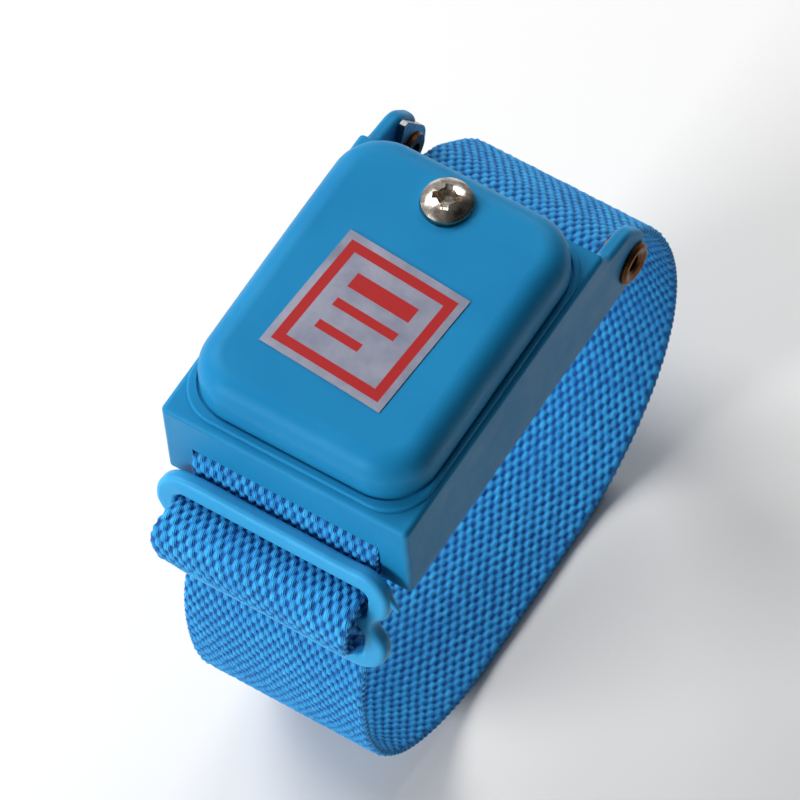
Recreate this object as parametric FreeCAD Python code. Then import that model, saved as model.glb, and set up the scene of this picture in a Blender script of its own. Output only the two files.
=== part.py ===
import FreeCAD, Part
import math, os

# Wrist strap for electrostatic discharge control: a moulded box with a
# sprung earth contact, a hinged steel clasp plate against the skin, an
# elastic band and a three-bar slider that sets the band's length.
# X across the box, +Y along the band towards the hinge, +Z away from the
# wrist.  The wrist-side face of the clasp plate is z = 0.  Millimetres.
#
# In names, HW is a half width in X; Y0, Y1, Z0 and Z1 are the lower and upper
# ends along an axis; R is a radius.  Cutting tools run past the faces they open.

V = FreeCAD.Vector
X_AXIS, Y_AXIS, Z_AXIS = V(1, 0, 0), V(0, 1, 0), V(0, 0, 1)
ORIGIN = V(0, 0, 0)
TINY = 1e-6              # tolerance for picking edges
OVERLAP = 0.1            # how far fused pieces sink into each other

# ---- dimensions shared between pieces ------------------------------------------
BOX_HW = 17.0
BOX_Y0, BOX_Y1 = -21.0, 22.7
BOX_Z0, BOX_Z1 = 0.5, 14.2
CEIL_Z, DECK_Z = 3.2, 4.8            # lower and upper face of the inner deck
BAY_HW, BAY_Y0, BAY_Y1 = 15.0, -13.6, 19.0       # electronics bay
MOUTH_Y0, MOUTH_R = -18.7, 4.4       # the bay's wider mouth
HINGE_Y, HINGE_Z = 28.6, 4.6
EYE_R = 1.75                         # barrel of a hinge eyelet
PIN_R, PIN_Y, PIN_Z = 1.0, -18.2, 5.3

PILLOW_HW, PILLOW_Y0, PILLOW_Y1, PILLOW_R = 15.8, -18.7, 22.0, 6.4   # raised top of the cover
PILLOW_Z = 21.0
DOME_R = 620.0                       # crown of the pillow's top
DOME_CENTRE = V(0, (PILLOW_Y0 + PILLOW_Y1) / 2, PILLOW_Z - DOME_R)

SCREW_X, SCREW_Y = -0.4, 16.4
HEAD_Z = 20.65                       # underside of the screw's head
SCREW_HOLE_R = 1.6
TAG_HOLE_Y, TAG_HOLE_R = 10.3, 0.5

SPRING_X, SPRING_Y = 0.0, -5.0
CAP_Z = DECK_Z + 4.2                 # spring cap's flange, on the rim of the spring tube
PLATE_T = 0.8                        # clasp plate
BAND_HW, BAND_T = 12.7, 1.25         # elastic band, 25.4 wide

SLIDER_Y, SLIDER_Z = -24.9, -2.9     # middle of the slider's centre bar
LEAN_Y, LEAN_Z = -0.212, -0.9773     # direction down along the slider
LEAN_LENGTH = math.hypot(LEAN_Y, LEAN_Z)
DOWN_Y, DOWN_Z = LEAN_Y / LEAN_LENGTH, LEAN_Z / LEAN_LENGTH


# ---- helpers -----------------------------------------------------------------
def box(x0, x1, y0, y1, z0, z1):
    return Part.makeBox(x1 - x0, y1 - y0, z1 - z0, V(x0, y0, z0))


def centred_box(half_width, y0, y1, z0, z1):
    return box(-half_width, half_width, y0, y1, z0, z1)


def cylinder(radius, start, axis, length):
    return Part.makeCylinder(radius, length, V(*start), axis)


def rounded_box(half_width, y0, y1, radius, z0, z1):
    """Centred box with its upright edges rounded."""
    block = centred_box(half_width, y0, y1, z0, z1)
    return block.makeFillet(radius, upright_edges(block))


def polygon_face(points):
    return Part.Face(Part.makePolygon(points + [points[0]]))


def prism_x(outline, x0, x1):
    """Extrude a (y, z) outline from x0 to x1."""
    return polygon_face([V(x0, y, z) for y, z in outline]).extrude(V(x1 - x0, 0, 0))


def on_side(side, inner, outer):
    """X range between two distances from the middle, on side -1 or 1."""
    return sorted((side * inner, side * outer))


def upright_edges(shape):
    return [e for e in shape.Edges if abs(e.Vertexes[0].Z - e.Vertexes[1].Z) > TINY]


def edges_above(shape, z):
    return [e for e in shape.Edges if min(v.Z for v in e.Vertexes) > z - TINY]


def along_x(edge, y, z):
    return all(abs(v.Y - y) < TINY and abs(v.Z - z) < TINY for v in edge.Vertexes)


def edges_along_x(shape, *places):
    return [e for e in shape.Edges if any(along_x(e, y, z) for y, z in places)]


def in_side_plane(edge, half_width):
    return (all(abs(abs(v.X) - half_width) < TINY for v in edge.Vertexes)
            and edge.BoundBox.XLength < TINY)


def try_fillet(shape, radius, edges, need_valid=True):
    """Round the edges, or leave them sharp where the kernel can't round them."""
    try:
        rounded = shape.makeFillet(radius, edges)
    except Exception:
        return shape
    return rounded if rounded.isValid() or not need_valid else shape


def merged(shape):
    """Join split faces and unwrap a single solid."""
    shape = shape.removeSplitter()
    return shape.Solids[0] if len(shape.Solids) == 1 else shape


def from_slider(down, out):
    """Slider frame to (y, z): down along the slider, out of its face away from the box."""
    return (SLIDER_Y + down * DOWN_Y + out * DOWN_Z, SLIDER_Z + down * DOWN_Z - out * DOWN_Y)


def around(centre_y, centre_z, radius, degrees):
    return [(centre_y + radius * math.cos(math.radians(a)),
             centre_z + radius * math.sin(math.radians(a))) for a in degrees]


# ---- band --------------------------------------------------------------------
# Centre line of the band as (y, z) points, one run per piece.
REST_Z = -53.96          # flat underside of the band's loop
BAND_STEP = 0.5          # longest step along the smoothed centre line
BAND_GAP = 0.03          # gap between neighbouring pieces
TURN_R = 1.68            # centre line around the pin

LOOP = [
    (2.0, 1.475), (8.0, 1.475), (14.0, 1.475), (19.6, 1.475), (21.4, 1.75),
    (23.1, 2.42), (24.8, 3.28), (26.6, 3.86), (28.2, 3.88), (29.4, 3.45), (30.6, 2.7),
    (32.1, 1.55), (34.6, -1.2), (37.2, -4.2), (39.8, -8.0), (42.4, -13.8), (44.3, -20.8),
    (44.8, -28.2), (43.3, -36.4), (39.4, -43.6), (33.6, -49.0), (26.8, -52.4),
    (20.0, -53.375), (13.0, -53.375), (6.0, -53.375), (-1.0, -53.375), (-7.6, -52.6),
    (-14.6, -49.6), (-20.2, -45.1), (-24.0, -39.3), (-26.0, -33.0)]
ADJUST_RUN = [(-26.75, -27.0), (-26.75, -21.0), (-26.1, -16.4), (-24.95, -13.0),
              from_slider(8.8, -1.98)]
# CREST and SEWN_END are (down, out) points in the slider frame.
CREST = [(7.3, -1.95), (6.1, -1.6), (5.1, -0.5), (4.7, 1.0), (4.0, 2.5), (2.7, 3.75),
         (1.0, 4.45), (-0.8, 4.7), (-2.6, 4.2), (-3.75, 3.0), (-4.1, 1.5), (-4.35, 0.0),
         (-5.1, -1.3), (-6.5, -1.95), (-8.0, -1.95)]
UPPER_RUN = [(-21.22, 5.35), (-20.92, 6.15), (-20.3, 6.76), (-19.4, 6.975)]
PIN_TURN = ([(-18.8, 6.975)] + around(PIN_Y, PIN_Z, TURN_R, range(90, -91, -20))
            + [(-18.8, 3.62), (-19.4, 3.5)])
RETURN_RUN = [(-20.1, 2.95), (-20.55, 2.0), (-20.85, 0.9), from_slider(-3.2, -3.1)]
SEWN_END = [(-2.4, -3.0), (-1.2, -2.62), (0.0, -2.1), (1.2, -1.6), (1.95, -0.6), (1.95, 0.6),
            (1.2, 1.62), (0.0, 1.97), (-1.2, 1.62), (-1.95, 0.6), (-2.02, -0.35), (-2.15, -0.8)]
BAND_ROUTE = (
    ("band_loop", LOOP),
    ("band_adjust_run", ADJUST_RUN),
    ("band_crest", [from_slider(*point) for point in CREST]),
    ("band_upper_run", UPPER_RUN),
    ("band_pin_turn", PIN_TURN),
    ("band_return_run", RETURN_RUN),
    ("band_sewn_end", [from_slider(*point) for point in SEWN_END]),
)


def smooth(control):
    """Centripetal Catmull-Rom curve, and the index on it of each control point."""
    (y0, z0), (y1, z1) = control[:2]
    (y2, z2), (y3, z3) = control[-2:]
    padded = [(2 * y0 - y1, 2 * z0 - z1), *control, (2 * y3 - y2, 2 * z3 - z2)]
    line, marks = [], []
    for a, b, c, d in zip(padded, padded[1:], padded[2:], padded[3:]):
        marks.append(len(line))
        knots = [0.0]
        for p, q in ((a, b), (b, c), (c, d)):
            knots.append(knots[-1] + math.dist(p, q) ** 0.5)
        count = max(2, math.ceil(math.dist(b, c) / BAND_STEP))
        for j in range(count):
            u = knots[1] + (knots[2] - knots[1]) * j / count

            def mix(p, q, i0, i1):
                f = (u - knots[i0]) / (knots[i1] - knots[i0])
                return (p[0] + (q[0] - p[0]) * f, p[1] + (q[1] - p[1]) * f)

            ab, bc, cd = mix(a, b, 0, 1), mix(b, c, 1, 2), mix(c, d, 2, 3)
            line.append(mix(mix(ab, bc, 0, 2), mix(bc, cd, 1, 3), 1, 2))
    marks.append(len(line))
    line.append(control[-1])
    return line, marks


def chord(line, i):
    """Vector between the neighbours of point i, and its length."""
    (y0, z0), (y1, z1) = line[max(i - 1, 0)], line[min(i + 1, len(line) - 1)]
    return y1 - y0, z1 - z0, math.hypot(y1 - y0, z1 - z0)


def offset(line, distance):
    """The line moved sideways, to the left of its direction if positive."""
    moved = []
    for i, (y, z) in enumerate(line):
        dy, dz, length = chord(line, i)
        moved.append((y - dz / length * distance, z + dy / length * distance))
    return moved


def band_piece(line, faces, first, last):
    """The band between two points of the centre line, trimmed by half the gap at each end."""
    rows, curves = [], []
    for face in faces:
        row = list(face[first:last + 1])
        for end, i, sign in ((0, first, 1), (-1, last, -1)):
            dy, dz, length = chord(line, i)
            trim = sign * BAND_GAP / 2 / length
            row[end] = (row[end][0] + dy * trim, row[end][1] + dz * trim)
        row = [V(-BAND_HW, y, z) for y, z in row]
        curve = Part.BSplineCurve()
        curve.interpolate(row)
        rows.append(row)
        curves.append(curve.toShape())
    left, right = rows
    far_end = Part.makeLine(left[-1], right[-1])
    near_end = Part.makeLine(left[0], right[0])
    edges = Part.__sortEdges__([curves[0], far_end, curves[1], near_end])
    return Part.Face(Part.Wire(edges)).extrude(V(2 * BAND_HW, 0, 0))


def band_pieces():
    """Every piece of the band by name, cut from one continuous curve."""
    line, marks = smooth([point for _, run in BAND_ROUTE for point in run])
    faces = offset(line, BAND_T / 2), offset(line, -BAND_T / 2)
    pieces, first = {}, 0
    for name, run in BAND_ROUTE:
        last = min(first + len(run), len(marks) - 1)
        pieces[name] = band_piece(line, faces, marks[first], marks[last])
        first += len(run)
    # Flat underneath, where the band stands on a table.
    pieces["band_loop"] = pieces["band_loop"].cut(centred_box(20, -40, 60, -70, REST_Z))
    return pieces


# ---- base housing ------------------------------------------------------------
BOX_EDGE_R = 0.7
RECESS_HW = 15.0                     # clasp recess
SLOT_HW, SLOT_Z1 = 12.95, 8.0        # band chamber
EAR_X0 = 15.0                        # inner face of the hinge ears
EAR_END = (31.8, 7.4)                # (y, z) at the top of the ears' rear end
EAR_TOP = (29.0, 11.1)               # where their upper edge turns down
EAR_ROOT = (24.0, 11.9)              # foot of the slope from the box's rim
LUG_POCKET_X0 = 13.9
TUBE_R, TUBE_BORE_R = 3.6, 2.3       # tube around the contact spring
TOOTH_YS, TOOTH_HALF_L, TOOTH_H = (19.9, 21.2), 0.5, 0.55
SADDLE_YS, SADDLE_L = (1.0, 8.8), 1.2


def housing_blank():
    """Box and hinge ears with their edges rounded."""
    ear_foot = (EAR_END[0], BOX_Z0)
    front_top, front_bottom = (BOX_Y0, BOX_Z1), (BOX_Y0, BOX_Z0)
    body = prism_x([front_bottom, ear_foot, EAR_END, EAR_TOP, EAR_ROOT, (BOX_Y1, BOX_Z1),
                    front_top], -BOX_HW, BOX_HW)
    body = body.makeFillet(3.9, edges_along_x(body, ear_foot))
    body = body.makeFillet(3.6, edges_along_x(body, EAR_END, EAR_TOP))
    body = try_fillet(body, 1.6, edges_along_x(body, EAR_ROOT))
    rim = [e for e in body.Edges if in_side_plane(e, BOX_HW)
           or along_x(e, *front_top) or along_x(e, *front_bottom)]
    body = try_fillet(body, BOX_EDGE_R, rim, need_valid=False)

    body = body.cut(centred_box(EAR_X0, BOX_Y1, 40, -1, 20))     # gap between the ears
    ear_rims = [e for e in body.Edges if in_side_plane(e, EAR_X0)
                and all(v.Y > BOX_Y1 - TINY and v.Z > 5.0 for v in e.Vertexes)
                and e.BoundBox.YMax >= BOX_Y1 + TINY]
    return try_fillet(body, 0.8, ear_rims)


def base_housing():
    body = housing_blank()
    body = body.cut(centred_box(BAY_HW, BAY_Y0, BAY_Y1, DECK_Z, 10))
    # Wider mouth of the bay, over the band chamber.
    body = body.cut(rounded_box(BAY_HW, MOUTH_Y0, BAY_Y1, MOUTH_R, 9.6, 20))
    # Clasp recess and its shallow front end.
    body = body.cut(centred_box(RECESS_HW, -14.6, 30, -1, CEIL_Z))
    body = body.cut(centred_box(RECESS_HW, -22, -14.0, -1, 1.0))
    # Band chamber, open in front and below.
    body = body.cut(centred_box(SLOT_HW, -22, -15.2, -1, SLOT_Z1))
    for side in (-1, 1):             # lug pockets in the rear wall, eyelet holes in the ears
        pocket_x = on_side(side, LUG_POCKET_X0, RECESS_HW)
        body = body.cut(box(*pocket_x, 20.3, 24, 2.5, 12.6))
        body = body.cut(cylinder(EYE_R, (side * 13.5, HINGE_Y, HINGE_Z), V(side, 0, 0), 5))
    body = body.cut(cylinder(PIN_R, (-16.0, PIN_Y, PIN_Z), X_AXIS, 32.0))    # pin sockets

    tube_z0 = DECK_Z - 0.2
    body = body.fuse(cylinder(TUBE_R, (SPRING_X, SPRING_Y, tube_z0), Z_AXIS, CAP_Z - tube_z0))
    body = body.cut(cylinder(TUBE_BORE_R, (SPRING_X, SPRING_Y, 2.0), Z_AXIS, 8))
    for y in TOOTH_YS:               # gripping teeth over the band
        root_z = CEIL_Z + OVERLAP
        tooth = [(y - TOOTH_HALF_L, root_z), (y, CEIL_Z - TOOTH_H), (y + TOOTH_HALF_L, root_z)]
        body = body.fuse(prism_x(tooth, -12.6, 12.6))
    for y in SADDLE_YS:              # resistor saddles
        body = body.fuse(box(3.2, 6.8, y, y + SADDLE_L, DECK_Z - OVERLAP, 6.3))
    for side in (-1, 1):             # blocks along the side walls of the bay
        body = body.fuse(box(*on_side(side, 12.9, 14.9), -6, 6, DECK_Z - OVERLAP, 7.2))
    return merged(body)


# ---- cover and label -----------------------------------------------------------
LEDGE_HW, LEDGE_Y0, LEDGE_Y1, LEDGE_R = 16.45, -19.9, 22.3, 5.6
LEDGE_Z = 14.8
PILLOW_EDGE_R = 3.3                  # round of the pillow's upper edge
COVER_WALL, COVER_CEIL_Z = 1.7, 19.1
RIM_Z0, RIM_WALL, RIM_CLEARANCE = 12.4, 1.0, 0.1
LABEL_W, LABEL_L, LABEL_T = 17.3, 18.0, 0.12
LABEL_X, LABEL_Y, LABEL_TURN = -0.2, -2.0, -4.0      # turn in degrees
LABEL_GAP = 0.01


def pillow():
    blank = rounded_box(PILLOW_HW, PILLOW_Y0, PILLOW_Y1, PILLOW_R, BOX_Z1, PILLOW_Z + 1)
    domed = blank.common(Part.makeSphere(DOME_R, DOME_CENTRE))
    try:
        return domed.makeFillet(PILLOW_EDGE_R, edges_above(domed, PILLOW_Z - 2))
    except Exception:                # flat-topped pillow, if the domed edge can't be rounded
        flat = rounded_box(PILLOW_HW, PILLOW_Y0, PILLOW_Y1, PILLOW_R, BOX_Z1, PILLOW_Z)
        return flat.makeFillet(PILLOW_EDGE_R, edges_above(flat, PILLOW_Z))


def top_cover():
    ledge = rounded_box(LEDGE_HW, LEDGE_Y0, LEDGE_Y1, LEDGE_R, BOX_Z1, LEDGE_Z)
    ledge = ledge.makeFillet(0.3, edges_above(ledge, LEDGE_Z))
    groove = rounded_box(PILLOW_HW + 0.35, PILLOW_Y0 - 0.35, PILLOW_Y1 + 0.25, PILLOW_R + 0.3,
                         LEDGE_Z - 0.3, LEDGE_Z + 0.5)
    ledge = ledge.cut(groove)
    cover = pillow().fuse(ledge)

    hollow = rounded_box(PILLOW_HW - COVER_WALL, PILLOW_Y0 + COVER_WALL, PILLOW_Y1 - COVER_WALL,
                         PILLOW_R - COVER_WALL, BOX_Z1 - 1, COVER_CEIL_Z)
    hollow = hollow.makeFillet(1.2, edges_above(hollow, COVER_CEIL_Z))
    cover = cover.cut(hollow)

    # Locating rim inside the mouth of the bay.
    rim_hw = BAY_HW - RIM_CLEARANCE
    rim_y0, rim_y1 = MOUTH_Y0 + RIM_CLEARANCE, BAY_Y1 - RIM_CLEARANCE
    rim = rounded_box(rim_hw, rim_y0, rim_y1, MOUTH_R - RIM_CLEARANCE, RIM_Z0, BOX_Z1 + OVERLAP)
    rim = rim.cut(rounded_box(rim_hw - RIM_WALL, rim_y0 + RIM_WALL, rim_y1 - RIM_WALL,
                              3.4, 12.0, 15))
    cover = cover.fuse(rim)

    # Screw boss under the ceiling, kept inside the pillow.
    boss = cylinder(4.0, (SCREW_X, SCREW_Y - 0.6, 18.3), Z_AXIS, 1.2)
    cover = cover.fuse(boss.common(
        rounded_box(PILLOW_HW - 1, PILLOW_Y0 + 1, PILLOW_Y1 - 1, 5, 15, 20)))
    cover = cover.cut(on_screw_axis(SCREW_HOLE_R, 10, 15))
    return merged(cover.cut(on_screw_axis(3.35, HEAD_Z, 4)))     # seat for the head


def label_foil():
    """Thin skin that follows the dome."""
    block = centred_box(LABEL_W / 2, -LABEL_L / 2, LABEL_L / 2, 15, 25)
    block.rotate(ORIGIN, Z_AXIS, LABEL_TURN)
    block.translate(V(LABEL_X, LABEL_Y, 0))
    under_r = DOME_R + LABEL_GAP
    skin = block.common(Part.makeSphere(under_r + LABEL_T, DOME_CENTRE))
    return merged(skin.cut(Part.makeSphere(under_r, DOME_CENTRE)))


# ---- screw, solder tag, washer, nut ----------------------------------------------
HEAD_R, HEAD_H = 3.15, 2.05
HEAD_SIDE_H = 0.95                   # straight side of the head
SHANK_R, SHANK_Z0 = 1.48, 13.9
CROSS_DEPTH, CROSS_SLOT_W = 1.6, 1.0
TAG_Z, TAG_T, TAG_R, TAG_TAIL_HW = 17.75, 0.5, 2.9, 1.1
WASHER_Z, WASHER_T, WASHER_R = 17.05, 0.65, 2.7
NUT_Z, NUT_H, NUT_CORNER_R, NUT_BORE_R = 14.55, 2.4, 3.1, 1.49


def on_screw_axis(radius, z, height):
    return cylinder(radius, (SCREW_X, SCREW_Y, z), Z_AXIS, height)


def earth_screw():
    top_z = HEAD_Z + HEAD_H
    dome_h = HEAD_H - HEAD_SIDE_H
    dome_r = (HEAD_R ** 2 + dome_h ** 2) / (2 * dome_h)
    head = on_screw_axis(HEAD_R, HEAD_Z, HEAD_H).common(
        Part.makeSphere(dome_r, V(SCREW_X, SCREW_Y, top_z - dome_r)))

    cross = Part.makeCone(0.25, 1.35, CROSS_DEPTH, V(SCREW_X, SCREW_Y, top_z - CROSS_DEPTH))
    for angle in (20, 110):
        slot = polygon_face([V(-2.2, 0, 0.1), V(2.2, 0, 0.1), V(0.8, 0, -1.5), V(-0.8, 0, -1.5)])
        slot = slot.extrude(V(0, CROSS_SLOT_W, 0))
        slot.translate(V(0, -CROSS_SLOT_W / 2, top_z))
        slot.rotate(ORIGIN, Z_AXIS, angle)
        slot.translate(V(SCREW_X, SCREW_Y, 0))
        cross = cross.fuse(slot)
    head = head.cut(cross)
    return merged(head.fuse(on_screw_axis(SHANK_R, SHANK_Z0, HEAD_Z - SHANK_Z0 + OVERLAP)))


def solder_tag():
    tag = on_screw_axis(TAG_R, TAG_Z, TAG_T)
    tag = tag.fuse(box(SCREW_X - TAG_TAIL_HW, SCREW_X + TAG_TAIL_HW, 9.0, SCREW_Y,
                       TAG_Z, TAG_Z + TAG_T))
    tag = tag.cut(on_screw_axis(SCREW_HOLE_R, 10, 10))
    return merged(tag.cut(cylinder(TAG_HOLE_R, (SCREW_X, TAG_HOLE_Y, 10), Z_AXIS, 10)))


def lock_washer():
    """Ring split on its +X side."""
    ring = on_screw_axis(WASHER_R, WASHER_Z, WASHER_T).cut(on_screw_axis(SCREW_HOLE_R, 10, 10))
    split = box(SCREW_X + 0.5, SCREW_X + 4, SCREW_Y - 0.2, SCREW_Y + 0.2, 10, 20)
    return merged(ring.cut(split))


def hex_nut():
    corners = around(SCREW_X, SCREW_Y, NUT_CORNER_R, range(0, 360, 60))
    nut = polygon_face([V(x, y, NUT_Z) for x, y in corners]).extrude(V(0, 0, NUT_H))
    return merged(nut.cut(on_screw_axis(NUT_BORE_R, 10, 10)))


# ---- resistor and leads ----------------------------------------------------------
RESISTOR_X, RESISTOR_Z = 5, 7.0
RESISTOR_Y0, RESISTOR_Y1 = 2.3, 8.7
RESISTOR_END_L = 2.0                 # thicker part at each end
LEAD_R, LEAD_GAP = 0.28, 0.02


def resistor_body():
    body = cylinder(1.05, (RESISTOR_X, 3.0, RESISTOR_Z), Y_AXIS, 5.0)
    for y in (RESISTOR_Y0, RESISTOR_Y1 - RESISTOR_END_L):
        end = cylinder(1.28, (RESISTOR_X, y, RESISTOR_Z), Y_AXIS, RESISTOR_END_L)
        body = body.fuse(end.makeFillet(0.4, [e for e in end.Edges if e.Closed]))
    return merged(body)


def lead(path):
    """Round wire through the points, with a ball at each bend."""
    points = [V(*point) for point in path]
    pieces = [Part.makeCylinder(LEAD_R, (b - a).Length, a, b - a)
              for a, b in zip(points, points[1:])]
    pieces += [Part.makeSphere(LEAD_R, point) for point in points[1:-1]]
    wire = pieces[0]
    for piece in pieces[1:]:
        wire = wire.fuse(piece)
    return merged(wire)


def lead_to_spring():
    return lead([(RESISTOR_X, RESISTOR_Y0 - LEAD_GAP, RESISTOR_Z), (RESISTOR_X, -1.0, RESISTOR_Z),
                 (RESISTOR_X, -1.0, 10.6), (SPRING_X, SPRING_Y, 10.6),
                 (SPRING_X, SPRING_Y, CAP_Z + 0.72)])


def lead_to_tag():
    return lead([(RESISTOR_X, RESISTOR_Y1 + LEAD_GAP, RESISTOR_Z), (RESISTOR_X, 12.2, RESISTOR_Z),
                 (RESISTOR_X, 12.2, 15.6), (SCREW_X, TAG_HOLE_Y, 16.6),
                 (SCREW_X, TAG_HOLE_Y, 18.6)])


# ---- contact spring and cap --------------------------------------------------------
COIL_TURNS, COIL_R, COIL_WIRE_R = 7, 1.75, 0.21
COIL_END_GAP = 0.27                  # from the wire's centre to the plate and to the cap
POINTS_PER_TURN = 16


def spring_cap():
    cap = None
    # Flange, stud above it, plug below it: (radius, z, height).
    for radius, z, height in ((3.2, CAP_Z, 0.4), (1.2, CAP_Z + 0.3, 0.4), (1.3, CAP_Z - 1.0, 1.1)):
        disc = cylinder(radius, (SPRING_X, SPRING_Y, z), Z_AXIS, height)
        cap = cap.fuse(disc) if cap else disc
    return merged(cap)


def contact_spring():
    z0, z1 = PLATE_T + COIL_END_GAP, CAP_Z - COIL_END_GAP
    steps = POINTS_PER_TURN * COIL_TURNS
    points = []
    for k in range(steps + 1):
        angle = 2 * math.pi * k / POINTS_PER_TURN
        points.append(V(COIL_R * math.cos(angle), COIL_R * math.sin(angle), (z1 - z0) * k / steps))
    coil = Part.BSplineCurve()
    coil.interpolate(points)
    start = coil.FirstParameter
    section = Part.Wire([Part.makeCircle(COIL_WIRE_R, coil.value(start), coil.tangent(start)[0])])
    spring = Part.Wire([coil.toShape()]).makePipeShell([section], True, False)
    spring.translate(V(SPRING_X, SPRING_Y, z0))
    return spring


# ---- band pin, clasp plate, eyelets --------------------------------------------------
PIN_HALF_L = 15.9
PLATE_HW, PLATE_Y0, PLATE_Y1 = 14.85, -18.4, 20.5
LUG_X0, LUG_X1, LUG_R = 14.1, 14.9, 3.35
EYE_BORE, EYE_FLANGE = 1.15, 2.8     # radii

# Outlines as (y, z).
RAMP = [(20.0, 0), (20.9, 0), (22.9, 0.62), (24.6, 1.46), (26.1, 2.1), (26.0, 2.72),
        (25.6, 2.68), (24.4, 2.2), (22.7, 1.38), (20.9, PLATE_T), (20.0, PLATE_T)]
LUG_FOOT = [(8.0, 0), (20.9, 0.0), (23.4, 0.45), (26.0, 1.6)]
LUG_HEEL = [(23.8, 4.1), (22.4, 3.0), (20.2, 2.6), (9.0, 2.6), (8.0, 1.6)]
LUG_HORN = [(30.6, 7.6), (29.6, 9.3), (28.6, 10.8), (27.9, 10.9), (27.1, 9.3),
            (26.1, 7.2), (25.1, 5.5)]    # rises above the eye of the -X lug
# Half section of an eyelet: (distance from the middle in X, radius).
EYELET = [(13.55, EYE_BORE), (13.55, 2.3), (14.0, 2.45), (14.0, EYE_R), (17.03, EYE_R),
          (17.03, EYE_FLANGE), (17.35, EYE_FLANGE + 0.02), (17.7, EYE_FLANGE - 0.35),
          (17.75, 2.1), (17.5, 1.5), (17.2, EYE_BORE)]


def band_pin():
    return cylinder(PIN_R, (-PIN_HALF_L, PIN_Y, PIN_Z), X_AXIS, 2 * PIN_HALF_L)


def lug_outline(side):
    last_angle, horn = (30, LUG_HORN) if side < 0 else (160, [])
    arc = around(HINGE_Y, HINGE_Z, LUG_R, range(-110, last_angle + 1, 10))
    return LUG_FOOT + arc + horn + LUG_HEEL


def clasp_plate():
    plate = centred_box(PLATE_HW, PLATE_Y0, PLATE_Y1, 0, PLATE_T)
    front_corners = [e for e in upright_edges(plate) if e.Vertexes[0].Y < 0]
    plate = plate.makeFillet(2.5, front_corners)
    plate = plate.fuse(prism_x(RAMP, -LUG_X1, LUG_X1))
    for side in (-1, 1):
        lug = prism_x(lug_outline(side), *on_side(side, LUG_X0, LUG_X1))
        eye = cylinder(EYE_R + 0.07, (side * 13, HINGE_Y, HINGE_Z), V(side, 0, 0), 3)
        plate = plate.fuse(lug.cut(eye))
    for x in (-9.0, 9.0):            # flat-bottomed grooves in the wrist-side face
        groove = cylinder(0.9, (x, -13.0, -0.15), Y_AXIS, 10.0)
        plate = plate.cut(groove.common(box(x - 2, x + 2, -20, 20, -2, 0.5)))
    return merged(plate)


def hinge_eyelets():
    eyelets = []
    for side in (-1, 1):
        section = polygon_face([V(side * x, HINGE_Y, HINGE_Z + r) for x, r in EYELET])
        eyelets.append(section.revolve(V(0, HINGE_Y, HINGE_Z), X_AXIS, 360))
    return Part.makeCompound(eyelets)


# ---- slider and stitching --------------------------------------------------------------
SLIDER_HALF_L, SLIDER_HALF_T = 8.3, 1.1
WINDOW_HW = 13.4
BAR_W, TOP_BAR_W = 2.0, 2.6          # middle and lower bars; upper bar
# Windows above and below the middle bar, as distances down the slider.
WINDOWS = ((-(SLIDER_HALF_L - TOP_BAR_W), -BAR_W / 2 - 0.05),
           (BAR_W / 2 + 0.05, SLIDER_HALF_L - BAR_W - 0.1))
# +X side of the slider's outline: (x, distance down the slider).
SLIDER_SIDE = [(11.8, -8.3), (14.3, -7.7), (15.8, -6.1), (16.2, -4.3), (15.8, -2.5),
               (14.85, -1.2), (14.5, -0.1), (14.9, 1.0), (15.9, 2.2), (16.45, 4.0),
               (16.0, 5.9), (14.4, 7.6), (11.8, 8.2)]
STITCH_ROWS = ((-2.75, -3.06), (-1.2, -2.62))    # band centre line, (down, out)
STITCH_COUNT, STITCH_PITCH, STITCH_L, THREAD_R = 11, 2.2, 1.5, 0.16


def tri_glide_slider():
    """Built upright about the origin, then leaned and moved into place."""
    outline = (SLIDER_SIDE + [(4.0, 8.2), (-4.0, 8.2)]
               + [(-x, down) for x, down in SLIDER_SIDE[::-1]] + [(-4.0, -8.3), (4.0, -8.3)])
    curve = Part.BSplineCurve()
    curve.interpolate([V(x, 0, -down) for x, down in outline], PeriodicFlag=True)
    face = Part.Face(Part.Wire([curve.toShape()]))
    face.translate(V(0, -SLIDER_HALF_T, 0))
    slider = merged(face.extrude(V(0, 2 * SLIDER_HALF_T, 0)))
    slider = try_fillet(slider, 0.75, slider.Edges, need_valid=False)

    for top, bottom in WINDOWS:
        window = centred_box(WINDOW_HW, -3, 3, -bottom, -top)
        corners = [e for e in window.Edges if abs(e.Vertexes[0].Y - e.Vertexes[1].Y) > TINY]
        slider = slider.cut(window.makeFillet(1.3, corners))
    face_edges = [e for e in slider.Edges
                  if all(abs(abs(v.Y) - SLIDER_HALF_T) < TINY for v in e.Vertexes)]
    slider = try_fillet(slider, 0.55, face_edges)
    # Small tapered spur on the +X edge.
    slider = slider.fuse(Part.makeCone(0.7, 0.2, 2.2, V(15.45, 0.1, 5.5), V(1.2, 0, -1.0)))

    slider.rotate(ORIGIN, X_AXIS, -math.degrees(math.atan2(-DOWN_Y, -DOWN_Z)))
    slider.translate(V(0, SLIDER_Y, SLIDER_Z))
    return slider


def stitching():
    """Two rows of thread on the wrist side of the sewn end."""
    stitches = []
    for down, out in STITCH_ROWS:
        y, z = from_slider(down, out - BAND_T / 2 - 0.24)
        for k in range(STITCH_COUNT):
            x = STITCH_PITCH * (k - (STITCH_COUNT - 1) / 2)
            stitches.append(cylinder(THREAD_R, (x - STITCH_L / 2, y, z), X_AXIS, STITCH_L))
    return Part.makeCompound(stitches)


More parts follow.
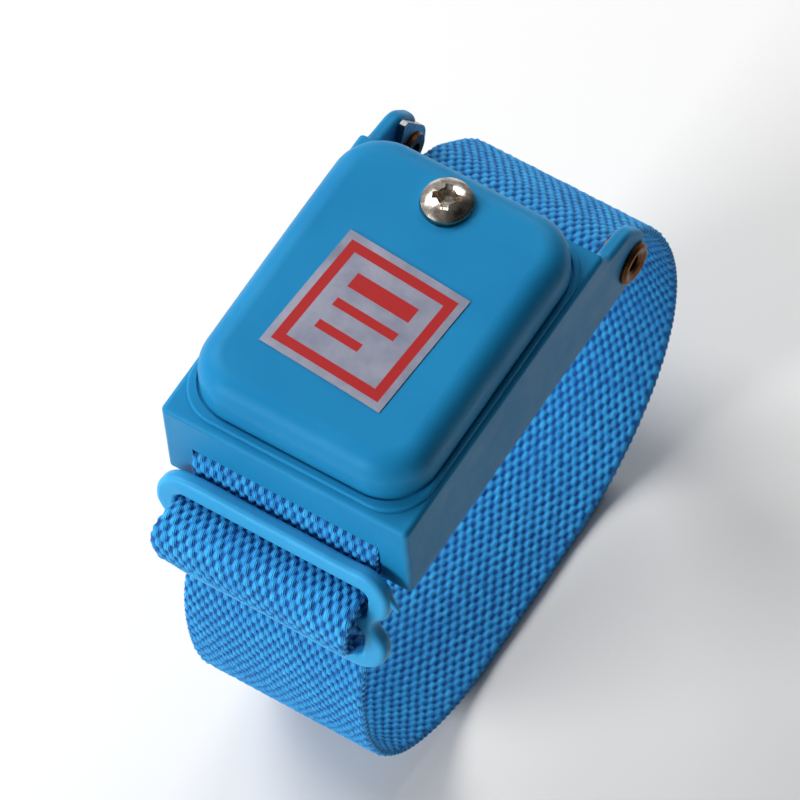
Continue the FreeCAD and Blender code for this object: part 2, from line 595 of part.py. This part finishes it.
# ---- write one file per piece ------------------------------------------------------------
os.makedirs("parts", exist_ok=True)
for name, piece in band_pieces().items():
    piece.exportStep("parts/" + name + ".step")
for build in (base_housing, top_cover, label_foil, earth_screw, solder_tag, lock_washer, hex_nut,
              resistor_body, lead_to_spring, lead_to_tag, spring_cap, contact_spring, band_pin,
              clasp_plate, hinge_eyelets, tri_glide_slider, stitching):
    build().exportStep("parts/" + build.__name__ + ".step")
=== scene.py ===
# An elastic strap on a moulded blue housing that holds an earth screw and a resistor.
# X runs across the band and Z is up. The housing lies at the top, near the origin. The knitted
# band leaves it toward +Y, loops below it, climbs the -Y side, threads a tri-glide slider and
# turns round a pin in the housing. Only the band is built here; the other pieces get materials.
import bpy, math
import numpy as np
from mathutils import Vector, Matrix


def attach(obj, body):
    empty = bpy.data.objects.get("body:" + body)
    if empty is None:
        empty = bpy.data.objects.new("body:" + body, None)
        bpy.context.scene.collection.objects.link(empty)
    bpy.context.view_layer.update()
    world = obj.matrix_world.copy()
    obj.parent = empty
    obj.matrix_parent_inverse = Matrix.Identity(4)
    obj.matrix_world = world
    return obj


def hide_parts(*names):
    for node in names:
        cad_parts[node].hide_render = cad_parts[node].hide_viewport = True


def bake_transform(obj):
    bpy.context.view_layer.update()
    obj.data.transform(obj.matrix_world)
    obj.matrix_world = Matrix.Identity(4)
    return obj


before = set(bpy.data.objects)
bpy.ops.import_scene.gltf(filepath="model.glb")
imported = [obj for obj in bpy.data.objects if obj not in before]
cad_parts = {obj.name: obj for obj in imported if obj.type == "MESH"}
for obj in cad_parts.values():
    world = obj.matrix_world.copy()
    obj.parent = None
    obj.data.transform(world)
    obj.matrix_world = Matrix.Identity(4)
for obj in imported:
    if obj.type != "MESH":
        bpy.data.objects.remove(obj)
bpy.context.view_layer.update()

MM = 0.001

# ---------------------------------------------------------------- band route, mm
SLIDER_CENTRE = (-24.9, -2.9)               # (y, z)
SLIDER_FALL = (-0.212, -0.9773)             # (y, z) direction down the slider
_length = math.hypot(*SLIDER_FALL)
DOWN_Y, DOWN_Z = (part / _length for part in SLIDER_FALL)
PIN_Y, PIN_Z = -18.2, 5.3
PIN_TURN_RADIUS = 1.68                      # centre line of the band round the pin


def at(down, out):
    """(y, z) of a point given down the slider and out of its -Y face."""
    return (SLIDER_CENTRE[0] + down * DOWN_Y + out * DOWN_Z,
            SLIDER_CENTRE[1] + down * DOWN_Z - out * DOWN_Y)


def on_pin(degrees):
    angle = math.radians(degrees)
    return (PIN_Y + PIN_TURN_RADIUS * math.cos(angle),
            PIN_Z + PIN_TURN_RADIUS * math.sin(angle))


# Centre line of each stretch of the band, as (y, z) points in order along it
LOOP = [
    (2.0, 1.475), (8.0, 1.475), (14.0, 1.475), (19.6, 1.475), (21.4, 1.75), (23.1, 2.42),
    (24.8, 3.28), (26.6, 3.86), (28.2, 3.88), (29.4, 3.45), (30.6, 2.7), (32.1, 1.55),
    (34.6, -1.2), (37.2, -4.2), (39.8, -8.0), (42.4, -13.8), (44.3, -20.8), (44.8, -28.2),
    (43.3, -36.4), (39.4, -43.6), (33.6, -49.0), (26.8, -52.4), (20.0, -53.375),
    (13.0, -53.375), (6.0, -53.375), (-1.0, -53.375), (-7.6, -52.6), (-14.6, -49.6),
    (-20.2, -45.1), (-24.0, -39.3), (-26.0, -33.0)]
ADJUST = [(-26.75, -27.0), (-26.75, -21.0), (-26.1, -16.4), (-24.95, -13.0), at(8.8, -1.98)]
CREST = [
    at(7.3, -1.95), at(6.1, -1.6), at(5.1, -0.5), at(4.7, 1.0), at(4.0, 2.5), at(2.7, 3.75),
    at(1.0, 4.45), at(-0.8, 4.7), at(-2.6, 4.2), at(-3.75, 3.0), at(-4.1, 1.5),
    at(-4.35, 0.0), at(-5.1, -1.3), at(-6.5, -1.95), at(-8.0, -1.95)]
UPPER = [(-21.22, 5.35), (-20.92, 6.15), (-20.3, 6.76), (-19.4, 6.975)]
TURN = [(-18.8, 6.975), *(on_pin(a) for a in range(90, -91, -20)), (-18.8, 3.62), (-19.4, 3.5)]
RETURN = [(-20.1, 2.95), (-20.55, 2.0), (-20.85, 0.9), at(-3.2, -3.1)]
SEWN = [
    at(-2.4, -3.0), at(-1.2, -2.62), at(0.0, -2.1), at(1.2, -1.6), at(1.95, -0.6),
    at(1.95, 0.6), at(1.2, 1.62), at(0.0, 1.97), at(-1.2, 1.62), at(-1.95, 0.6),
    at(-2.02, -0.35), at(-2.15, -0.8)]

# name, centre line, mesh columns per wale outside and inside, mesh rows per mm
BAND = (
    ("band_loop", LOOP, 5, 3, 5.5),
    ("band_adjust_run", ADJUST, 6, 3, 7),
    ("band_crest", CREST, 6, 3, 8),
    ("band_upper_run", UPPER, 6, 3, 8),
    ("band_pin_turn", TURN, 4, 3, 5),
    ("band_return_run", RETURN, 4, 3, 5),
    ("band_sewn_end", SEWN, 4, 3, 5),
)
CURVE_STEP = 0.08                           # longest step between control points
MIN_CURVE_STEPS = 4


def smooth_curve(points):
    """Centripetal Catmull-Rom through the points; also the index of each point on the curve."""
    path = np.array(points)
    path = np.vstack([2 * path[0] - path[1], path, 2 * path[-1] - path[-2]])

    def between(start, end, t_start, t_end, t):
        return start + (end - start) * ((t - t_start) / (t_end - t_start))

    curve, marks = [], []
    for i in range(1, len(path) - 2):
        a, b, c, d = path[i - 1:i + 3]
        knots = [0.0]
        for start, end in ((a, b), (b, c), (c, d)):
            knots.append(knots[-1] + max(np.linalg.norm(end - start), 1e-6) ** 0.5)
        t0, t1, t2, t3 = knots
        marks.append(len(curve))
        steps = max(MIN_CURVE_STEPS, int(math.ceil(np.linalg.norm(c - b) / CURVE_STEP)))
        for j in range(steps):
            t = t1 + (t2 - t1) * j / steps
            ab = between(a, b, t0, t1, t)
            bc = between(b, c, t1, t2, t)
            cd = between(c, d, t2, t3, t)
            abc = between(ab, bc, t0, t2, t)
            bcd = between(bc, cd, t1, t3, t)
            curve.append(between(abc, bcd, t1, t2, t))
    marks.append(len(curve))
    curve.append(path[-2])
    return np.array(curve), marks


LINE, MARKS = smooth_curve([point for _, points, *_ in BAND for point in points])
RUN = np.concatenate([[0], np.cumsum(np.linalg.norm(np.diff(LINE, axis=0), axis=1))])


def find_spans():
    """Start and end of each stretch, mm along the band; each ends where the next starts."""
    spans, first = {}, 0
    for name, points, *_ in BAND:
        last = min(first + len(points), len(MARKS) - 1)
        spans[name] = (RUN[MARKS[first]], RUN[MARKS[last]])
        first += len(points)
    return spans


SPANS = find_spans()


def line_at(s):
    return np.interp(s, RUN, LINE[:, 0]), np.interp(s, RUN, LINE[:, 1])


def place(s, reach=0.3):
    """Centre line (y, z) at s and its normal (y, z), which points out of the big loop."""
    y, z = line_at(s)
    y_before, z_before = line_at(np.clip(s - reach, 0, RUN[-1]))
    y_after, z_after = line_at(np.clip(s + reach, 0, RUN[-1]))
    along_y, along_z = y_after - y_before, z_after - z_before
    length = np.hypot(along_y, along_z)
    return y, z, -along_z / length, along_y / length


# ---------------------------------------------------------------- knitted relief, mm
WALES = 42                                  # columns of warp across the band
COURSE = 2.27                               # length of one over-and-under
CORE, RELIEF = 0.26, 0.38                   # half thickness under the beads, and bead height
BAND_HALF_WIDTH = 12.7
HALF = BAND_HALF_WIDTH - 0.12               # half width of the flat faces
FADE = 0.25                                 # the beads sink over this width beside each edge
EDGE_HALF = HALF + 0.02                     # where the rounded edges start
EDGE_BULGE, EDGE_SCALLOP = 0.16, 0.11
EDGE_STEPS = 5
SEAL_LENGTH = 1.2                           # melted part of a heat-sealed end
# Bead half sizes: across in wales, along in courses
BEAD_ACROSS, BEAD_ALONG = 0.76, 0.355
BEAD_POWER = 2.1
BEAD_SLANT = 0.045
# How far beads vary: in place along and across, and in size about the mean
SHIFT_ALONG, SHIFT_ACROSS = 0.030, 0.10
MEAN_SIZE, SIZE_VARIATION = 0.90, 0.10
# Slow drift of the courses: height in courses, phase per column, radians per mm
DRIFT = ((0.035, 12.9898, 0.31), (0.030, 4.1, 1.1), (0.018, 9.7, 2.9))


def scatter(column, bead, key):
    """A fixed value from -1 to 1 for one bead of a column."""
    value = np.sin(column * 12.9898 + bead * 78.233 + key * 37.719) * 43758.5453
    return 2 * (value - np.floor(value)) - 1


def dome(distance, half):
    return np.sqrt(np.clip(1 - (np.abs(distance) / half) ** BEAD_POWER, 0, 1))


def stitch(x, s, side):
    """Height 0 to 1 of the weave at x across and s along. Each column of warp rises in a bead
    and dips under the weft, half a step apart from one column to the next, which leaves
    diamond pits between the beads."""
    wale = (x + HALF) / (2 * HALF) * WALES
    nearest = np.floor(np.clip(wale, 0, WALES - 1e-6))
    height = 0
    for neighbour in (-1, 0, 1):
        column = nearest + neighbour
        across = wale - column - 0.5
        drift = sum(size * np.sin(column * phase + s * rate) for size, phase, rate in DRIFT)
        course = s / COURSE + 0.5 * np.mod(column, 2) + BEAD_SLANT * across * side + drift
        bead = np.round(course)
        along = course - bead + SHIFT_ALONG * scatter(column, bead, 1.0)
        across = across + SHIFT_ACROSS * scatter(column, bead, 2.0)
        size = MEAN_SIZE + SIZE_VARIATION * scatter(column, bead, 3.0)
        on_band = (column >= 0) & (column < WALES)
        bump = size * dome(across, BEAD_ACROSS) * dome(along, BEAD_ALONG) * on_band
        height = np.maximum(height, bump)
    return np.clip(height, 0, 1)


def face_strip(s, side, per_wale):
    """One face (side 1 outer, -1 inner): x, offset from the centre line, and knit height."""
    x = np.linspace(-side * HALF, side * HALF, WALES * per_wale + 1)
    stagger = 0 if side > 0 else 0.5 * COURSE
    height = stitch(x[None, :], s[:, None] + stagger, side)
    fade = np.clip((HALF - np.abs(x)) / FADE, 0.25, 1)
    return np.broadcast_arrays(x, side * (CORE + RELIEF * height * fade), height)


def edge_strip(s, side):
    """The rounded, scalloped edge on +X (side 1) or -X (side -1), as face_strip gives."""
    angle = math.pi * np.arange(1, EDGE_STEPS) / EDGE_STEPS
    phase = 0 if side > 0 else np.pi
    wave = np.cos(4 * np.pi * s / COURSE + phase)[:, None]
    x = side * (EDGE_HALF + (EDGE_BULGE + EDGE_SCALLOP * wave) * np.sin(angle))
    return np.broadcast_arrays(x, side * (CORE + 0.05) * np.cos(angle), 0.55 + 0.4 * wave)


def spread(x, s):
    """The folded crest bulges past the band's width, and the upper run widens a little."""
    crest = np.exp(-((s - sum(SPANS["band_crest"]) / 2) / 5.0) ** 2)
    upper = np.exp(-((s - sum(SPANS["band_upper_run"]) / 2) / 3.0) ** 2)
    widening = 1 + 0.072 * crest + 0.012 * upper
    return x * widening - 0.45 * crest - 0.09 * upper


def fill_mesh(mesh, verts, rings, ring_size):
    """A tube of quads through the rings of vertices, capped at both ends."""
    mesh.vertices.add(len(verts))
    mesh.vertices.foreach_set("co", verts.ravel().astype(np.float32))
    base = np.arange(rings - 1)[:, None] * ring_size
    here = np.arange(ring_size)[None, :]
    beside = (here + 1) % ring_size
    quads = np.stack([base + here, base + beside,
                      base + ring_size + beside, base + ring_size + here], -1)
    start_cap = np.arange(ring_size)[::-1]
    end_cap = np.arange(ring_size) + (rings - 1) * ring_size
    corners = np.concatenate([quads.ravel(), start_cap, end_cap])
    mesh.loops.add(len(corners))
    mesh.loops.foreach_set("vertex_index", corners.astype(np.int32))
    quad_count = quads.size // 4
    starts = np.concatenate([np.arange(quad_count) * 4,
                             [quad_count * 4, quad_count * 4 + ring_size]])
    mesh.polygons.add(quad_count + 2)
    mesh.polygons.foreach_set("loop_start", starts.astype(np.int32))
    mesh.polygons.foreach_set("use_smooth", np.ones(quad_count + 2, bool))
    mesh.update(calc_edges=True)
    mesh.validate()


def band_mesh(name, span, per_outer, per_inner, rows_per_mm, sealed_row=None):
    """One stretch of knitted band; sealed_row is the row, if any, that is a heat-sealed end."""
    rows = max(8, int(round((span[1] - span[0]) * rows_per_mm)))
    s = np.linspace(*span, rows + 1)
    strips = (face_strip(s, 1, per_outer), edge_strip(s, 1),
              face_strip(s, -1, per_inner), edge_strip(s, -1))
    x, offset, height = (np.concatenate(parts, axis=1) for parts in zip(*strips))
    x = spread(x, s[:, None])
    if sealed_row is not None:              # the knit melts into a thin smooth lip
        distance = np.abs(s - s[sealed_row])[:, None]
        unmelted = np.clip(distance / SEAL_LENGTH, 0, 1) ** 0.5
        offset = offset * (0.45 + 0.55 * unmelted)
        height = height * unmelted

    y, z, normal_y, normal_z = (values[:, None] for values in place(s))
    verts = np.stack([x, y + normal_y * offset, z + normal_z * offset], -1).reshape(-1, 3) * MM
    mesh = bpy.data.meshes.new(name)
    fill_mesh(mesh, verts, *x.shape)

    # the knit height, which the yarn material turns into painted shade in the pits and painted
    # highlight on the beads
    knit_height = mesh.attributes.new("knit", "FLOAT", "POINT")
    knit_height.data.foreach_set("value", height.ravel().astype(np.float32))
    flat = np.stack([x, np.broadcast_to(s[:, None], x.shape), np.zeros_like(x)], -1)
    weave = mesh.attributes.new("weave", "FLOAT_VECTOR", "POINT")
    weave.data.foreach_set("vector", (flat * MM).ravel().astype(np.float32))
    obj = bpy.data.objects.new(name, mesh)
    bpy.context.scene.collection.objects.link(obj)
    return obj


# ---------------------------------------------------------------- material helpers
def srgb(*channels):
    """Linear RGBA from sRGB channels of 0 to 255."""
    def linear(c):
        return c / 12.92 if c <= 0.04045 else ((c + 0.055) / 1.055) ** 2.4
    return (*(linear(c / 255) for c in channels), 1)


class Surface:
    """A Principled material with node helpers; inputs take a value or another node's output."""

    def __init__(self, name, color, roughness, metallic=0.0, slot=None):
        self.material = bpy.data.materials.new(name)
        self.material.use_nodes = True
        self.material.diffuse_color = color
        self.slot = slot or name
        self.tree = self.material.node_tree
        self.shader = self.tree.nodes["Principled BSDF"]
        self.coords = None
        self.set({"Base Color": color, "Roughness": roughness, "Metallic": metallic})

    def feed(self, socket, value):
        if isinstance(value, bpy.types.NodeSocket):
            self.tree.links.new(value, socket)
        else:
            socket.default_value = value

    def set(self, values):
        for name, value in values.items():
            self.feed(self.shader.inputs[name], value)

    def node(self, kind, inputs=None, **settings):
        node = self.tree.nodes.new(kind)
        for key, value in settings.items():
            setattr(node, key, value)
        for key, value in (inputs or {}).items():
            self.feed(node.inputs[key], value)
        return node

    def object_coords(self):
        if self.coords is None:
            self.coords = self.node("ShaderNodeTexCoord").outputs["Object"]
        return self.coords

    def noise(self, scale, detail=3.0, roughness=0.55, vector=None, stretch=None):
        vector = vector or self.object_coords()
        if stretch:
            mapping = self.node("ShaderNodeMapping", {"Vector": vector, "Scale": stretch})
            vector = mapping.outputs["Vector"]
        return self.node("ShaderNodeTexNoise", {
            "Scale": scale, "Detail": detail, "Roughness": roughness,
            "Vector": vector}).outputs["Fac"]

    def math(self, operation, *values, clamp=False):
        return self.node("ShaderNodeMath", dict(enumerate(values)),
                         operation=operation, use_clamp=clamp).outputs[0]

    def remap(self, value, source, target):
        """Map the source range onto the target range."""
        inputs = dict(enumerate((value, *source, *target)))
        return self.node("ShaderNodeMapRange", inputs).outputs[0]

    def vary(self, noise, low, high):
        """Turn the middle of a noise's range into low to high."""
        return self.remap(noise, (0.3, 0.7), (low, high))

    def mix(self, factor, a, b):
        return self.node("ShaderNodeMix", {0: factor, 6: a, 7: b}, data_type="RGBA").outputs[2]

    def split(self, vector):
        return self.node("ShaderNodeSeparateXYZ", {0: vector}).outputs

    def bump(self, height, distance, strength=1.0, under=None):
        """Bump the shader's normal, on top of an earlier bump if one is given."""
        inputs = {"Distance": distance, "Strength": strength, "Height": height}
        if under is not None:
            inputs["Normal"] = under
        normal = self.node("ShaderNodeBump", inputs).outputs[0]
        self.set({"Normal": normal})
        return normal


# ---------------------------------------------------------------- materials
def plastic(name, color, dark, roughness, subsurface, slot):
    m = Surface(name, color, roughness, slot=slot)
    m.set({"Subsurface Weight": subsurface,
           "Subsurface Radius": (0.15, 0.5, 1.0),
           "Subsurface Scale": 0.0012,
           "Specular IOR Level": 0.16,
           "Specular Tint": (0.34, 0.68, 0.92, 1)})
    m.set({"Base Color": m.mix(m.vary(m.noise(scale=55), 0.0, 1.0), dark, color)})
    smudge = m.noise(scale=260, detail=4)
    m.set({"Roughness": m.vary(smudge, roughness - 0.04, roughness + 0.07)})
    grain = m.bump(m.noise(scale=5200, detail=2, roughness=0.6), distance=0.000012, strength=0.5)
    ripple = m.noise(scale=120, detail=2, roughness=0.5)
    m.bump(ripple, distance=0.00005, strength=0.25, under=grain)
    return m


def knit(name):
    """Elastic yarn, with painted shade in the pits and painted highlight on the beads."""
    m = Surface(name, srgb(36, 128, 212), 0.72)
    height = m.node("ShaderNodeAttribute", attribute_name="knit").outputs["Fac"]
    weave = m.node("ShaderNodeAttribute", attribute_name="weave").outputs["Vector"]
    fine = m.noise(scale=5200, roughness=0.6, vector=weave, stretch=(1, 0.35, 1))
    tone = m.noise(scale=160, roughness=0.6, vector=weave)
    yarn = m.noise(scale=1500, roughness=0.6, vector=weave, stretch=(1, 0.6, 1))

    # slanting plies, one per 0.21 mm across and 1 mm along, broken up by the yarn noise
    flat = m.split(weave)
    ply = m.math("ADD", m.math("MULTIPLY", flat[0], 2 * math.pi / 0.00021),
                 m.math("MULTIPLY", flat[1], 2 * math.pi / 0.0010))
    ply = m.math("SINE", m.math("ADD", ply, m.math("MULTIPLY", yarn, 5.0)))

    shade = m.math("ADD", height, m.vary(fine, -0.14, 0.14))
    shade = m.math("ADD", shade, m.math("MULTIPLY", ply, 0.07))
    shade = m.math("ADD", shade, m.vary(yarn, -0.16, 0.12), clamp=True)
    # the knit height picks the colour: painted shade in the pits, painted highlight on the bead
    # tops
    ramp = m.node("ShaderNodeValToRGB", {0: shade})
    pit, bead = ramp.color_ramp.elements
    pit.position, pit.color = 0.10, srgb(9, 76, 144)
    bead.position, bead.color = 0.95, srgb(58, 180, 236)
    ramp.color_ramp.elements.new(0.55).color = srgb(24, 134, 206)
    m.set({"Base Color": m.mix(m.vary(tone, 0.0, 0.35), ramp.outputs[0], srgb(16, 118, 196)),
           "Roughness": m.vary(fine, 0.62, 0.82),
           "Sheen Weight": 0.25,
           "Sheen Roughness": 0.4,
           "Sheen Tint": srgb(150, 200, 240),
           "Specular IOR Level": 0.3})
    normal = m.bump(yarn, distance=0.00022, strength=0.7)
    normal = m.bump(ply, distance=0.00005, strength=0.7, under=normal)
    m.bump(fine, distance=0.00011, strength=0.8, under=normal)
    return m


def metal(name, color, roughness, scale, stretch=None, spots=None):
    m = Surface(name, color, roughness, metallic=1.0)
    grain = m.noise(scale=scale, detail=4, roughness=0.6, stretch=stretch)
    m.set({"Roughness": m.vary(grain, roughness - 0.06, roughness + 0.10)})
    if spots:
        # dark spots over the colour: patina on the brass, painted reflection on the polished
        # nickel screw
        stain_and_reflection = m.noise(scale=700, detail=5, roughness=0.65)
        m.set({"Base Color": m.mix(m.remap(stain_and_reflection, (0.45, 0.75), (0.0, 0.8)), color, spots)})
    m.bump(grain, distance=0.00001, strength=0.35)
    return m


def sewing_thread():
    m = Surface("thread", srgb(30, 104, 180), 0.8)
    m.bump(m.node("ShaderNodeTexWave").outputs["Fac"], distance=0.00003, strength=0.5)
    return m


# Label print, mm about the label's middle; rectangles are x min, x max, y min, y max
LABEL_X, LABEL_Y, LABEL_TURN = -0.2, -2.0, -4.0     # middle, and turn in degrees
BORDER_OUTER = (-7.7, 7.7, -8.0, 8.0)
BORDER_INNER = (-6.4, 6.4, -6.7, 6.7)
BARS = ((-4.4, 4.4, 2.5, 4.7), (-4.4, 4.4, -0.5, 0.7), (-4.4, 1.8, -4.0, -2.8))
PRINT_SOFTNESS = 0.03


def label_foil():
    """Silver foil with a plain red border and three plain red bars."""
    m = Surface("foil", srgb(128, 130, 148), 0.42, metallic=0.35)
    mapping = m.node("ShaderNodeMapping", vector_type="TEXTURE")
    m.feed(mapping.inputs["Location"], (LABEL_X * MM, LABEL_Y * MM, 0))
    m.feed(mapping.inputs["Rotation"], (0, 0, math.radians(LABEL_TURN)))
    m.feed(mapping.inputs["Vector"], m.object_coords())
    label = m.split(mapping.outputs["Vector"])

    def within(coordinate, low, high):
        middle, half = (low + high) / 2, (high - low) / 2
        distance = m.math("ABSOLUTE", m.math("SUBTRACT", coordinate, middle * MM))
        soft = ((half + PRINT_SOFTNESS) * MM, (half - PRINT_SOFTNESS) * MM)
        return m.remap(distance, soft, (0, 1))

    def inside(x_min, x_max, y_min, y_max):
        return m.math("MULTIPLY", within(label[0], x_min, x_max),
                      within(label[1], y_min, y_max))

    red = m.math("SUBTRACT", inside(*BORDER_OUTER), inside(*BORDER_INNER), clamp=True)
    for bar in BARS:
        red = m.math("MAXIMUM", red, inside(*bar))
    grain = m.noise(scale=2600, roughness=0.6)
    cloud = m.noise(scale=190, roughness=0.6)
    silver = m.mix(m.vary(cloud, 0, 1), srgb(108, 112, 130), srgb(138, 140, 156))
    rougher_print = m.math("MULTIPLY", red, 0.06)
    m.set({"Specular IOR Level": 0.25,
           "Base Color": m.mix(red, silver, srgb(150, 3, 9)),
           "Metallic": m.remap(red, (0, 1), (0.35, 0.0)),
           "Roughness": m.math("ADD", m.vary(grain, 0.38, 0.48), rougher_print)})
    m.bump(cloud, distance=0.00004, strength=0.4)
    return m


# y of each colour band on the resistor in mm, and its sRGB colour
RESISTOR_BANDS = ((3.0, (112, 62, 26)), (4.3, (18, 18, 18)),
                  (5.4, (30, 120, 50)), (7.6, (176, 140, 50)))


def resistor_coat():
    """Tan lacquer with colour bands spaced along Y."""
    tan = srgb(196, 168, 122)
    m = Surface("resistor_coat", tan, 0.32)
    along = m.split(m.object_coords())[1]
    color = m.mix(0.0, tan, tan)
    for y, band_color in RESISTOR_BANDS:
        distance = m.math("ABSOLUTE", m.math("SUBTRACT", along, y * MM))
        mask = m.remap(distance, (0.36 * MM, 0.30 * MM), (0, 1))
        color = m.mix(mask, color, srgb(*band_color))
    m.set({"Base Color": color})
    m.bump(m.noise(scale=900, detail=2), distance=0.00003, strength=0.3)
    return m


BLUE = plastic("blue_moulded", color=srgb(27, 122, 170), dark=srgb(20, 112, 161),
               roughness=0.44, subsurface=0.10, slot="blue_plastic")
SLIDER = plastic("blue_slider", color=srgb(62, 160, 212), dark=srgb(50, 150, 202),
                 roughness=0.34, subsurface=0.30, slot="slider_plastic")
SLIDER.set({"Transmission Weight": 0.10, "IOR": 1.49})
KNIT = knit("blue_elastic")
# the nickel's dark brownish spots are painted reflection mottling on the screw's dome
NICKEL = metal("nickel", srgb(222, 212, 200), roughness=0.18, scale=1500,
               spots=srgb(84, 72, 58))
BRASS = metal("aged_brass", srgb(96, 60, 30), roughness=0.36, scale=1800,
              spots=srgb(34, 20, 10))
STEEL = metal("stainless", srgb(134, 134, 137), roughness=0.28, scale=3500,
              stretch=(1, 0.04, 1))
ZINC = metal("zinc_steel", srgb(168, 170, 172), roughness=0.30, scale=1400)
SPRING = metal("spring_steel", srgb(150, 150, 152), roughness=0.22, scale=1400)
TIN = metal("tinned_copper", srgb(200, 198, 192), roughness=0.24, scale=1400)
THREAD = sewing_thread()
FOIL = label_foil()
RESISTOR = resistor_coat()

LOOKS = {
    "base_housing": BLUE, "top_cover": BLUE, "label_foil": FOIL, "earth_screw": NICKEL,
    "solder_tag": TIN, "lock_washer": ZINC, "hex_nut": ZINC, "resistor_body": RESISTOR,
    "lead_to_spring": TIN, "lead_to_tag": TIN, "spring_cap": BRASS, "contact_spring": SPRING,
    "band_pin": SPRING, "hinge_eyelets": BRASS, "clasp_plate": STEEL,
    "tri_glide_slider": SLIDER, "stitching": THREAD}
for name, surface in LOOKS.items():
    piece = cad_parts[name]
    piece.data.materials.clear()
    piece.data.materials.append(surface.material)


SEALED_ROWS = {"band_loop": 0, "band_sewn_end": -1}
RIDES = {"band_loop": "housing", "band_pin_turn": "housing", "band_sewn_end": "slider"}

for name, _, per_outer, per_inner, rows_per_mm in BAND:
    band = band_mesh(name + "_knit", SPANS[name], per_outer, per_inner, rows_per_mm,
                     SEALED_ROWS.get(name))
    band.data.materials.append(KNIT.material)
    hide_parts(name)
    if name in RIDES:
        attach(band, RIDES[name])
    else:
        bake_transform(band)

# ---------------------------------------------------------------- floor, lights, camera; metres
bpy.ops.mesh.primitive_plane_add(size=6.0, location=(0, 0, -0.0541))
floor = bpy.context.object
floor.name = "floor"
floor.data.materials.append(Surface("floor", srgb(222, 222, 222), 0.85).material)


def area_light(name, place, size, watts, color=(1, 1, 1)):
    """A rectangular light aimed at the origin."""
    light = bpy.data.lights.new(name, "AREA")
    light.shape = "RECTANGLE"
    light.size, light.size_y = size
    light.energy = watts
    light.color = color
    obj = bpy.data.objects.new(name, light)
    bpy.context.scene.collection.objects.link(obj)
    obj.location = place
    obj.rotation_euler = (-Vector(place)).to_track_quat("-Z", "Y").to_euler()


area_light("key", place=(-0.85, 0.15, 0.85), size=(0.7, 0.7), watts=13, color=(1, 0.99, 0.97))
area_light("front", place=(-0.40, -1.0, 0.42), size=(0.6, 0.5), watts=13.6)
area_light("rim", place=(-0.2, 1.0, 0.7), size=(0.7, 0.3), watts=6)


def studio_world():
    """A white room, dimmer toward +X, away from the key light."""
    world = bpy.data.worlds.new("studio")
    world.use_nodes = True
    nodes, links = world.node_tree.nodes, world.node_tree.links
    background = nodes["Background"]
    background.inputs[0].default_value = (1, 1, 1, 1)
    coords = nodes.new("ShaderNodeTexCoord")
    split = nodes.new("ShaderNodeSeparateXYZ")
    dimming = nodes.new("ShaderNodeMapRange")
    # x from -0.6 to 0.5 takes the strength from 0.36 to 0.02
    for i, value in enumerate((-0.6, 0.5, 0.36, 0.02), start=1):
        dimming.inputs[i].default_value = value
    links.new(coords.outputs["Generated"], split.inputs[0])
    links.new(split.outputs[0], dimming.inputs[0])
    links.new(dimming.outputs[0], background.inputs[1])
    return world


bpy.context.scene.world = studio_world()

# Rows are the camera's right, down and forward; the offset is the origin seen from it, in mm
CAMERA_AXES = np.array([[0.8449, 0.5327, -0.0494],
                        [0.4417, -0.7466, -0.4974],
                        [-0.3019, 0.3985, -0.8661]])
CAMERA_OFFSET = np.array([-1.8166, -0.1754, 875.768])

camera_data = bpy.data.cameras.new("camera")
camera_data.sensor_width = 36
camera_data.lens = 332.2
camera_data.clip_start, camera_data.clip_end = 0.05, 20
camera = bpy.data.objects.new("camera", camera_data)
bpy.context.scene.collection.objects.link(camera)
right, down, forward = CAMERA_AXES
pose = np.eye(4)
pose[:3] = np.column_stack([right, -down, -forward, -CAMERA_AXES.T @ CAMERA_OFFSET * MM])
camera.matrix_world = Matrix(pose.tolist())
bpy.context.scene.camera = camera
bpy.context.scene.view_settings.view_transform = "Standard"
